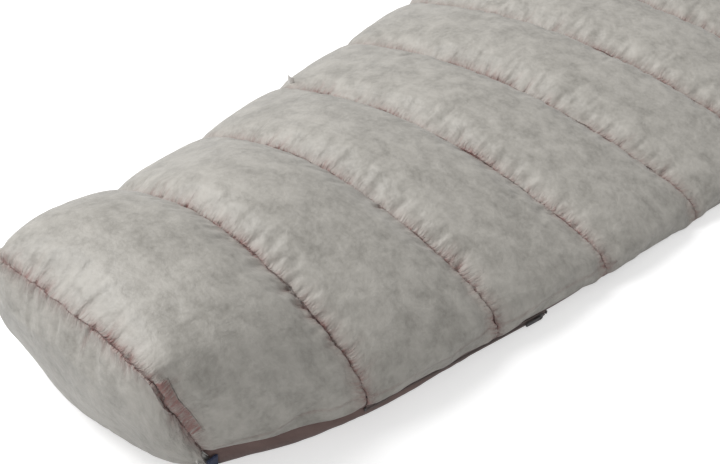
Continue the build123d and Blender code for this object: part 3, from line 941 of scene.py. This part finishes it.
def floor_outline(half, top):
    """From the left lip down the puffed side, along the ground and up to the right lip."""
    height = top - 0.5 * MM
    rise = np.linspace(1, 0, 9)
    side_x = half + FLOOR_PUFF * np.sin(math.pi * rise) ** 0.7 * min(1, height / 0.02)
    side = np.column_stack([-side_x, FLOOR_Z + rise * height])
    lip = np.column_stack([-half + np.linspace(LIP, 1 * MM, 7), np.full(7, top)])
    left = np.vstack([lip, side])
    bottom_x = np.linspace(-half, half, FLOOR_STEPS)[1:-1]
    bottom = np.column_stack([bottom_x, np.full(len(bottom_x), FLOOR_Z)])
    return np.vstack([left, bottom, left[::-1] * (-1, 1)])


def floor_fabric():
    """Floor from the foot seam to the end of the pocket, with crumpled sides."""
    at = chamber_rows(FLOOR_ROWS, 0, POCKET_SEAM)
    edge, top = floor_edge(at)
    grid = stacked(at, [floor_outline(edge[k], max(top[k], 3 * MM)) for k in range(len(at))])
    grid = bowed(refine_across(grid, 2), at)
    run = along(grid, 0)
    folds = pleats(run / 0.016, along(grid, 1) / 0.02, 31) + noise(run / 0.05, along(grid, 1) / 0.04, 32)
    side = np.clip((np.abs(grid[:, :, 0]) - edge[:, None] + 2 * MM) / (3 * MM), 0, 1)
    grid = grid + normals(grid) * (folds * side * -0.9 * MM)[:, :, None]
    grid[:, :, 2] = np.maximum(grid[:, :, 2], GROUND_CLEAR)
    return grid


floor_piece = sheet("floor_fabric", floor_fabric(), shaded_strip_look, thick=FLOOR_CLOTH)
stand_in(floor_piece, "foot_half", "floor_shell")


# ------ lining
LINING_STEPS = (120, 14)
LINING_ROWS = 20


def lining_grid():
    """Lining with its gathers on the seams and soft folds between them."""
    at = chamber_rows(LINING_ROWS, 0, CHAMBERS)
    grid = inner_grid(at, LINING_STEPS)
    across, run = along(grid, 1), along(grid, 0)
    near = bump(at - np.round(at), 0.1)[:, None]
    gathers = pleats(across / 0.014, run / 0.05, 41) * near
    folds = 0.5 + 0.5 * noise(across / 0.045, run / 0.07, 42)
    inward = -normals(grid)
    return grid + inward * ((1.6 * gathers + 2.2 * folds) * 0.6 * MM)[:, :, None]


inside = lining_grid()
LININGS = {
    "lining_foot": (0, 6, "lining_foot_half"),
    "lining_hips": (6, 8, None),
    "lining_head": (8, CHAMBERS, "lining_head_half"),
}
for name, (first, last, replaced) in LININGS.items():
    piece = sheet(name, inside[first * LINING_ROWS : last * LINING_ROWS + 1], lining_look)
    ride_or_bend(piece, first)
    if replaced:
        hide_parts(replaced)


def floor_lining_grid():
    """The flat top of the pocket's floor, faintly wrinkled."""
    at = chamber_rows(FLOOR_ROWS, 0, POCKET_SEAM)
    edge, top = floor_edge(at)
    across = np.linspace(-1, 1, 90)
    grid = stacked(at, [np.column_stack([across * edge[k], np.full(90, top[k])]) for k in range(len(at))])
    wrinkles = noise(grid[:, :, 0] / 0.03, grid[:, :, 1] / 0.03, 43) - 1
    grid[:, :, 2] += wrinkles * 0.4 * MM
    return bowed(grid, at)


floor_lining = sheet("pocket_floor_lining", floor_lining_grid(), lining_look)
stand_in(floor_lining, "foot_half", "floor_lining")


def end_lining_grid():
    """A slightly crumpled panel across the inside of the foot end, down to the bowed ground line."""
    low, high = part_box("foot_end_lining")
    outline = arch(high.x, low.z, high.z, BOXY_ARCH, 61)
    rows = []
    for share in np.linspace(0, 1, 24):
        z = low.z + (outline[:, 1] - low.z) * share
        rows.append(np.column_stack([outline[:, 0], np.full(len(outline), high.y), z]))
    grid = np.array(rows)
    grid[:, :, 1] += (noise(grid[:, :, 0] / 0.03, grid[:, :, 2] / 0.03, 44) - 1) * 0.3 * MM
    side = np.clip(np.abs(grid[:, :, 0]) / seams[0, HALF], 0, 1)
    near_ground = np.clip(1 - grid[:, :, 2] / high.z, 0, 1)
    grid[:, :, 1] += (GROUND_BOW * side**2 - GROUND_OUT + FLOOR_BACK) * near_ground
    return leaned(grid, np.zeros(len(grid)))


end_lining = sheet("pocket_end_lining", end_lining_grid(), lining_look)
stand_in(end_lining, "foot_half", "foot_end_lining")


# ------ tape that closes the folded side edges
TAPE_STEPS = 6
TAPE_BULGE = 2 * MM


def edge_tape(name, column, first, last):
    """Joins the outer fabric's folded edge to the lining's, between two seams."""
    count = 30 * (last - first) + 1
    lower = resampled(outside[rows_between(first, last), column], count)
    upper = resampled(inside[first * LINING_ROWS : last * LINING_ROWS + 1, column], count)
    share = np.linspace(0, 1, TAPE_STEPS + 1)[None, :, None]
    grid = lower[:, None] * (1 - share) + upper[:, None] * share
    grid[:, :, 0] -= np.sign(lower[:, :1]) * TAPE_BULGE * np.sin(math.pi * share[:, :, 0])
    ride_or_bend(sheet(name, grid, shaded_strip_look), first)


for side, column in (("near", -1), ("far", 0)):
    edge_tape(f"edge_tape_foot_{side}", column, 0, 6)
    edge_tape(f"edge_tape_hips_{side}", column, 6, 8)
    edge_tape(f"edge_tape_head_{side}", column, 8, CHAMBERS)


# ------ down filling that follows the cloth
DOWN_INSET = 6 * MM
DOWN_OFF_LINING = 2.5 * MM
DOWN_OFF_GROUND = 2 * MM
SPARE_ROWS = 2  # the down of a chamber stops this many simulated rows short of its seams


def filled(name, upper, lower, replaced):
    """A closed lump of down between two grids of the same size."""
    rows, columns = upper.shape[:2]
    loop = np.concatenate([upper, lower[:, ::-1]], axis=1)
    tufts = noise(loop[:, :, 0] / 0.013, loop[:, :, 1] / 0.013 + loop[:, :, 2] / 0.009, 61)
    loop = loop + normals(loop) * (0.8 * MM * np.minimum(tufts, 0))[:, :, None]
    faces = grid_faces(rows, 2 * columns, ring=True).tolist()
    for row, step in ((0, 1), (rows - 1, -1)):
        first = row * 2 * columns
        for k in range(columns - 1):
            a, b, c, d = first + k, first + k + 1, first + 2 * columns - 2 - k, first + 2 * columns - 1 - k
            faces.append([a, b, c, d][::-step])
    obj = new_piece(name, loop, faces, down_look)
    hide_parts(replaced)
    return obj


def filled_rows(number):
    """Simulated rows that the down of one chamber lies under; chamber -1 is the end panel."""
    first = (number + 1) * SIM_ROWS
    return slice(first + SPARE_ROWS, first + SIM_ROWS - SPARE_ROWS + 1)


def under_fabric(rows):
    return coarse[rows] - normals(coarse)[rows] * DOWN_INSET


def chamber_filling(number):
    """Down of one chamber, from just past its footward seam to just short of the next."""
    rows = filled_rows(number)
    lining = inner_grid(at_coarse[rows], (60, 12))
    lining = lining + normals(lining) * DOWN_OFF_LINING
    return under_fabric(rows), np.array([resampled(line, coarse.shape[1]) for line in lining])


def end_filling():
    """Down of the end panel, between its fabric and an almost flat panel."""
    rows, columns = filled_rows(-1), slice(TUCK_STEPS, -TUCK_STEPS)
    deep = under_fabric(rows)[:, columns]
    deep[:, :, 2] = np.maximum(deep[:, :, 2], DOWN_OFF_GROUND)
    return deep, whole_outside(at_coarse, 0.15)[rows, columns]


def floor_filling(number):
    """Flat down lump of the pocket's floor, between two seams."""
    at = np.linspace(number + 0.04, number + 0.96, 16)
    edge, top = floor_edge(at)
    width, room = edge - 5 * MM, top - 3 * MM
    across = np.linspace(-1, 1, 40)
    layers = []
    for share in (0.85, 0.15):
        rounded = 0.5 + (share - 0.5) * (1 - np.abs(across) ** 6)
        lines = [np.column_stack([across * width[k], 1.5 * MM + room[k] * rounded]) for k in range(len(at))]
        layers.append(bowed(stacked(at, lines), at))
    return layers


for number in range(CHAMBERS):
    name = f"{number + 1:02d}"
    lump = filled("down_filling_" + name, *chamber_filling(number), "down_chamber_" + name)
    ride_or_bend(lump, number)
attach(filled("foot_end_filling", *end_filling(), "foot_end_down"), "foot_half")
for number in range(POCKET_SEAM):
    name = f"{number + 1:02d}"
    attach(filled("floor_filling_" + name, *floor_filling(number), "floor_down_" + name), "foot_half")


# ------ mesh walls between the two fabrics
WALL_ROWS = 8
WALL_STEPS = 160


def mesh_wall(number):
    """Netting that hangs from a seam of the outer fabric down to the lining."""
    upper = resampled(outside[(number + 1) * ROWS, half_tucked], WALL_STEPS)
    lower = resampled(inside[number * LINING_ROWS], WALL_STEPS)
    share = np.linspace(0.08, 0.95, WALL_ROWS)[:, None, None]
    grid = upper * (1 - share) + lower * share
    return new_piece(f"mesh_wall_{number:02d}", grid, grid_faces(WALL_ROWS, WALL_STEPS), mesh_look)


for number in range(1, WALLS + 1):
    body = "foot_half" if number <= FOLD_SEAM else "head_half"
    stand_in(mesh_wall(number), body, f"baffle_wall_{number:02d}")


# ------ head hem: a gathered channel
HEM_RING = 14  # steps round the channel
HEM_STEPS = 620  # and along it


def hem_grid():
    """The channel round the head edge, from the outer fabric over to the lining, bunched by its cord."""
    low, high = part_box("head_hem")
    outer, inner = resampled(outside[-1], HEM_STEPS), resampled(inside[-1], HEM_STEPS)
    middle, spread = (outer + inner) / 2, (outer - inner) / 2
    across = np.linspace(0, line_length(outer)[-1], HEM_STEPS)
    rows = []
    for turn in np.linspace(0, math.pi, HEM_RING + 1):
        gathers = 0.8 * pleats(across / 0.008, 3 * turn, 51) + 0.5 * noise(across / 0.022, 2 * turn, 52)
        swell = 1 + 0.16 * gathers * math.sin(turn)
        point = middle + spread * math.cos(turn) * (1 + 0.25 * math.sin(turn) * gathers[:, None])
        point[:, 1] = low.y + (high.y - low.y) * math.sin(turn) ** 0.8 * swell * 0.95
        rows.append(point)
    grid = np.array(rows)
    grid[:, :, 2] = np.maximum(grid[:, :, 2], GROUND_CLEAR)
    return grid


hem_pink = np.full((HEM_RING + 1, HEM_STEPS), 0.25)
hem_pink[:3] = 0.6  # beside the head seam
hem = sheet("gathered_head_hem", hem_grid(), shell_look, hem_pink)
stand_in(hem, "head_half", "head_hem")


# ------ sewing threads on every seam
STITCH = 3.0 * MM
STITCH_STEP = 4.2 * MM
THREAD_RADIUS = 0.32 * MM
THREAD_SIDES = 5
STITCH_ARCH = 0.35 * MM  # the middle of a stitch stands this much above its ends
STITCH_SUNK = 0.45 * MM  # which lie this far inside the cloth


def stitch_mesh(line, up):
    """One row of short stitches along a polyline."""
    gone = line_length(line)
    starts = np.arange(STITCH_STEP, gone[-1] - STITCH_STEP, STITCH_STEP)
    shares = (0, 0.25, 0.75, 1)
    points = []
    for start in starts:
        for share in shares:
            place = start + share * STITCH
            centre = at_distance(line, gone, place)
            lift = at_distance(up, gone, place)
            ahead = at_distance(line, gone, place + 1 * MM) - centre
            side = np.cross(ahead / np.linalg.norm(ahead), lift)
            height = STITCH_ARCH * math.sin(math.pi * share) - STITCH_SUNK
            radius = THREAD_RADIUS * (0.5 if share in (0, 1) else 1)
            for corner in range(THREAD_SIDES):
                angle = corner * 2 * math.pi / THREAD_SIDES
                ring = side * math.cos(angle) * radius + lift * (math.sin(angle) * radius + height)
                points.append(centre + ring)
    rings = grid_faces(len(shares), THREAD_SIDES, ring=True)
    faces = [rings + number * len(shares) * THREAD_SIDES for number in range(len(starts))]
    return np.array(points), np.concatenate(faces)


def sewing(name, numbers, body):
    """The stitches of several seams as one piece."""
    points, faces, count = [], [], 0
    for number in numbers:
        row = (number + 1) * ROWS
        found, found_faces = stitch_mesh(outside[row, tucked:-tucked], outside_up[row, tucked:-tucked])
        points.append(found)
        faces.append(found_faces + count)
        count += len(found)
    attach(new_piece(name, np.concatenate(points), np.concatenate(faces), thread_look), body)


sewing("seam_stitching_foot", range(0, FOLD_SEAM + 1), "foot_half")
sewing("seam_stitching_head", range(FOLD_SEAM + 1, CHAMBERS), "head_half")


# ------ zip teeth
TOOTH_STEP = 1.7 * MM
TOOTH_SIDES = 6
# Rings of one tooth, in mm: place across the zip, half width along it and half depth.
TOOTH_RINGS = ((-0.15, 0.45, 0.35), (0.1, 0.62, 0.78), (0.9, 0.5, 0.82), (1.5, 0.4, 0.6))


def box_centre(node):
    low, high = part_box(node)
    return (low + high) / 2


def zip_teeth(name, side, replaced):
    """One side of a coil zip: a row of rounded loops that stand across the zip's centre line."""
    start, end = box_centre("zip_stop_foot"), box_centre("zip_stop_head")
    run = (end - start).normalized()
    outward = run.cross(Vector((0, 0, 1))).normalized()
    up = outward.cross(run)
    points, faces = [], []
    for number in range(int(((end - start).length - 3 * MM) / TOOTH_STEP)):
        first = len(points)
        centre = start + run * (1.6 * MM + (number + 0.25 + side * 0.25) * TOOTH_STEP)
        for across, wide, deep in TOOTH_RINGS:
            middle = centre + up * (side * across * MM)
            for corner in range(TOOTH_SIDES):
                angle = corner * 2 * math.pi / TOOTH_SIDES
                along_zip = math.cos(angle) * wide * MM
                through = math.sin(angle) * deep * MM
                points.append(middle + run * along_zip + outward * through)
        faces.extend(grid_faces(len(TOOTH_RINGS), TOOTH_SIDES, first, ring=True).tolist())
        faces.append(list(range(first, first + TOOTH_SIDES))[::-1])
        faces.append(list(range(len(points) - TOOTH_SIDES, len(points))))
    stand_in(new_piece(name, points, faces, coil_look), "foot_half", replaced)


zip_teeth("zip_teeth_upper", 1, "zip_coil_upper")
zip_teeth("zip_teeth_lower", -1, "zip_coil_lower")


# ------ webbing loop, label and drawcord
def ribbon(name, path, wide_axis, width, thickness, material, steps=14):
    """A flat strap that follows a path, with softened edges."""
    across = np.linspace(-0.5, 0.5, steps + 1)
    grid = path[:, None, :] + np.asarray(wide_axis)[None, None, :] * (across * width)[None, :, None]
    obj = new_piece(name, grid, grid_faces(len(path), steps + 1), material)
    flat = np.stack([along(grid, 1), along(grid, 0), np.zeros(grid.shape[:2])], axis=2)
    add_field(obj, "cloth", flat)
    thicken(obj, thickness, 0)
    soften_edges(obj, thickness * 0.35)
    return obj


LOOP_INSET = 3 * MM  # the loop hangs just inside the hem
LOOP_WIDTH = 11.6 * MM
LOOP_THICKNESS = 1.1 * MM
LOOP_STEPS = 72
LABEL_THICKNESS = 0.6 * MM
LABEL_STEPS = 20


def loop_path():
    """A long closed loop of webbing on edge, a little uneven like folded webbing."""
    low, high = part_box("hang_loop")
    middle = (low + high) / 2
    radius = (high.x - low.x) / 2 - 0.6 * MM
    tall = (high.z - low.z) / 2 - (high.x - low.x) / 2
    turn = np.linspace(0, 2 * math.pi, LOOP_STEPS)
    rise = middle.z + tall * np.clip(1.6 * np.cos(turn), -1, 1) + radius * np.cos(turn)
    hem_y, hem_x = hem_line(np.linspace(0, 1, 40))
    standing = np.interp(middle.y, hem_y, hem_x) - LOOP_INSET
    out = standing + radius * np.sin(turn) * (1 + 0.25 * np.cos(turn))
    return np.column_stack([out, middle.y + 0.6 * MM * np.sin(3 * turn), rise])


loop = ribbon("webbing_loop", loop_path(), (0, 1, 0), LOOP_WIDTH, LOOP_THICKNESS, navy_look)
stand_in(loop, "foot_half", "hang_loop")


def label_path():
    """From the far side's cloth outwards, curled a little at its free end."""
    low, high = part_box("blank_label")
    middle = (low + high) / 2
    far_side = outside[:, tucked : outside.shape[1] // 2]
    away = (far_side[:, :, 1] - middle.y) ** 2 + (far_side[:, :, 2] - middle.z) ** 2
    root = far_side[np.unravel_index(away.argmin(), away.shape)]
    share = np.linspace(0, 1, LABEL_STEPS)
    out = 2 * MM - share * (high.x - low.x)
    curl = 3.5 * MM * share**2 - 1.5 * MM * np.sin(math.pi * share)
    return np.column_stack([root[0] + out, root[1] + curl, np.full(LABEL_STEPS, root[2])])


label_low, label_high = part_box("blank_label")
label_width = label_high.z - label_low.z
label = ribbon("blank_tab", label_path(), (0, 0, 1), label_width, LABEL_THICKNESS, label_look)
stand_in(label, "foot_half", "blank_label")


def tube(name, path, radius, material, corners=12, strands=0):
    """A round cord along a path; strands makes its surface a plait."""
    ahead = np.gradient(path, axis=0)
    ahead /= np.linalg.norm(ahead, axis=1, keepdims=True)
    side = np.cross(ahead, (0.0, 0.0, 1.0))
    short = np.linalg.norm(side, axis=1) < 0.2
    side[short] = np.cross(ahead[short], (0.0, 1.0, 0.0))
    side /= np.linalg.norm(side, axis=1, keepdims=True)
    lift = np.cross(side, ahead)
    gone = line_length(path)
    angle = np.arange(corners) * 2 * math.pi / corners
    plait = np.abs(np.sin(strands * angle[None, :] / 2 + gone[:, None] / (1.1 * MM)))
    weave = 1 - 0.10 * plait * (strands > 0)
    ring = side[:, None, :] * np.cos(angle)[None, :, None] + lift[:, None, :] * np.sin(angle)[None, :, None]
    grid = path[:, None, :] + ring * (radius * weave)[:, :, None]
    return new_piece(name, grid, grid_faces(len(path), corners, ring=True), material)


CORD_RADIUS = 1.5 * MM
CORD_BEND = 7 * MM
CORD_SEEN_RADIUS = 1.45 * MM  # the plait keeps a little clear of the lock's bore


def cord_path():
    """Over the arch inside the hem, out at the near corner and straight back past the lock."""
    low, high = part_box("drawcord")
    half, top = high.x - CORD_RADIUS, high.z - CORD_RADIUS
    ground, hem_y = low.z + CORD_RADIUS, low.y + CORD_RADIUS
    foot = ground + CORD_BEND
    angle = np.linspace(math.radians(174), 0, 220)
    over = np.column_stack([half * np.cos(angle), np.full(220, hem_y), foot + (top - foot) * np.sin(angle)])
    turn = np.linspace(0, math.pi / 2, 12)[1:]
    corner_y = hem_y + CORD_BEND * (1 - np.cos(turn))
    corner = np.column_stack([np.full(11, half), corner_y, ground + CORD_BEND * (1 - np.sin(turn))])
    tail_y = np.linspace(hem_y + CORD_BEND, high.y - 0.3 * MM, 160)[1:]
    tail = np.column_stack([np.full(159, half), tail_y, np.full(159, ground)])
    return np.vstack([over, corner, tail])


cord = tube("plaited_drawcord", cord_path(), CORD_SEEN_RADIUS, cord_look, corners=16, strands=8)
stand_in(cord, "head_half", "drawcord")


# ------ spring of the cord lock
SPRING_WIRE = 0.35 * MM
SPRING_TURNS = 4


def spring_path():
    """A coil that fills the CAD spring's box."""
    low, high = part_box("cord_lock_spring")
    middle = (low + high) / 2
    radius = (high.x - low.x) / 2 - SPRING_WIRE
    share = np.linspace(0, 1, 30 * SPRING_TURNS)
    turn = share * SPRING_TURNS * 2 * math.pi
    rise = low.z + SPRING_WIRE + share * (high.z - low.z - 2 * SPRING_WIRE)
    return np.column_stack([middle.x + radius * np.cos(turn), middle.y + radius * np.sin(turn), rise])


spring = tube("lock_spring", spring_path(), SPRING_WIRE, steel_look, corners=8)
stand_in(spring, "cord_lock", "cord_lock_spring")
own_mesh(spring)


# ------ looks of the CAD nodes that stay
def dress(node, material, round_edge=0.0):
    """Gives a CAD node its material and soft edges; its mesh and place stay as they are."""
    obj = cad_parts[node]
    obj.data.materials.clear()
    obj.data.materials.append(material)
    if round_edge:
        soften_edges(obj, round_edge)


# The binding gets the strip cloth, whose dark colour is partly painted shade.
dress("floor_binding", shaded_strip_look)
for node in ("zip_tape_upper", "zip_tape_lower"):
    dress(node, tape_look)
for node in ("zip_stop_foot", "zip_stop_head", "zip_slider", "zip_pull"):
    dress(node, metal_look, 0.15 * MM)
for node in ("cord_lock_barrel", "cord_lock_button", "cord_end_bead"):
    dress(node, lock_look, 0.25 * MM)


# ------ light, camera and floor
# The camera looks along the quilt from its foot end, from a little above and to one side.
AIM_SIDE = 0.006
AIM_FROM_FOOT = 0.4084
CAMERA_AZIMUTH = math.radians(41.1)
CAMERA_RISE = math.radians(39.5)
CAMERA_ROLL = math.radians(1.06)
CAMERA_DISTANCE = 1.248
CAMERA_LENS = 49.85
LIT_FROM_FOOT = 0.5
WORLD_GLOW = 0.42
FLOOR_GLOW = 0.5
FLOOR_REACH = 40.0
FLOOR_DROP = 0.5 * MM  # the studio floor lies just under the quilt


def add_camera():
    aim = Vector((AIM_SIDE, foot_y + AIM_FROM_FOOT, 0))
    flat = math.cos(CAMERA_RISE)
    look = Vector((-math.sin(CAMERA_AZIMUTH) * flat, math.cos(CAMERA_AZIMUTH) * flat, -math.sin(CAMERA_RISE)))
    camera = bpy.data.objects.new("camera", bpy.data.cameras.new("camera"))
    camera.data.lens = CAMERA_LENS
    camera.data.clip_start = 0.01
    place = Matrix.Translation(aim - look * CAMERA_DISTANCE)
    turn = look.to_track_quat("-Z", "Y").to_matrix().to_4x4()
    camera.matrix_world = place @ turn @ Matrix.Rotation(CAMERA_ROLL, 4, "Z")
    bpy.context.scene.collection.objects.link(camera)
    bpy.context.scene.camera = camera


def add_area(name, toward, distance, size, power):
    """A square soft light that shines at the middle of the quilt's foot half."""
    light = bpy.data.lights.new(name, "AREA")
    light.energy = power
    light.size = size
    lamp = bpy.data.objects.new(name, light)
    toward = Vector(toward).normalized()
    lamp.location = Vector((0, foot_y + LIT_FROM_FOOT, 0)) + toward * distance
    lamp.rotation_euler = toward.to_track_quat("Z", "Y").to_euler()
    bpy.context.scene.collection.objects.link(lamp)


def floor_material():
    """Pale, and bright enough to the camera that it fades into the white surroundings."""
    s = Shader("studio_floor")
    seen = s.node("LightPath").outputs["Is Camera Ray"]
    s.set(Base_Color=rgb(0.72, 0.72, 0.72), Roughness=0.9)
    s.set(Emission_Color=rgb(1, 1, 1), Emission_Strength=s.math("MULTIPLY", seen, FLOOR_GLOW))
    return s.material


def white_surroundings():
    """Seen as plain white, but shines only softly on the quilt."""
    world = bpy.data.worlds.new("studio")
    world.use_nodes = True
    tree = world.node_tree
    seen = tree.nodes.new("ShaderNodeLightPath").outputs["Is Camera Ray"]
    level = tree.nodes.new("ShaderNodeMapRange")
    tree.links.new(seen, level.inputs["Value"])
    level.inputs["To Min"].default_value = WORLD_GLOW
    level.inputs["To Max"].default_value = 1.0
    background = tree.nodes["Background"]
    background.inputs["Color"].default_value = rgb(1, 1, 1)
    tree.links.new(level.outputs["Result"], background.inputs["Strength"])
    bpy.context.scene.world = world


add_camera()
add_area("key", toward=(-0.6, -0.25, 0.8), distance=5.2, size=3.0, power=236)
add_area("fill", toward=(0.45, -0.85, 0.5), distance=5.0, size=3.5, power=30)
white_surroundings()
bpy.context.scene.view_settings.view_transform = "Standard"
corners = [(x * FLOOR_REACH, y * FLOOR_REACH, 0) for x, y in ((-1, -1), (1, -1), (1, 1), (-1, 1))]
floor = new_piece("studio_floor", corners, [(0, 1, 2, 3)], floor_material(), smooth=False)
floor.location.z = -FLOOR_DROP
